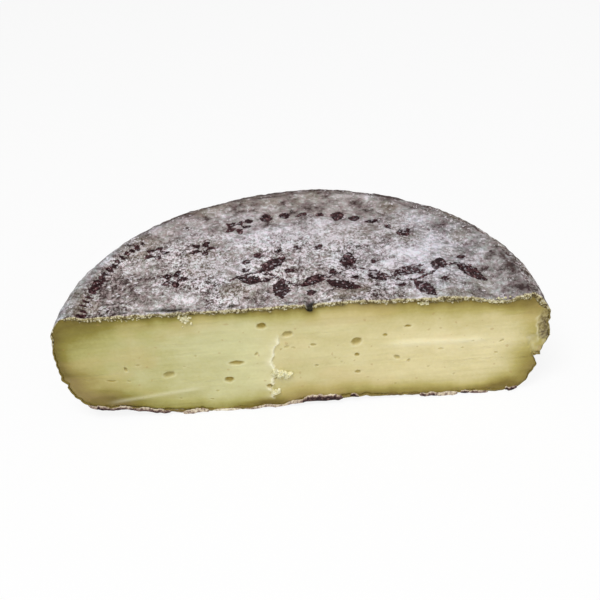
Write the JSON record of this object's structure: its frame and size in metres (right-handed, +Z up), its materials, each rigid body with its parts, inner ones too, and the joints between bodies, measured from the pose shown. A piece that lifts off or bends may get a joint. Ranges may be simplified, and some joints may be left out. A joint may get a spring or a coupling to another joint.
{
  "type": "tomme half wheel",
  "caption": "Half of a pressed mountain cheese wheel, cut straight through its middle, with a mouldy grey rind and a pale cut face with small eyes.",
  "frame": {"origin": "bottom centre of the box, on the foot that the wheel rests on", "axes": "+Z up along the wheel's axis, X along the cut, and the cut face looks towards -Y"},
  "size_m": [0.2093, 0.1056, 0.0569],
  "materials": {
    "cheese": "satin"
  },
  "bodies": {
    "root": {"half_wheel": "cheese"}
  },
  "joints": []
}
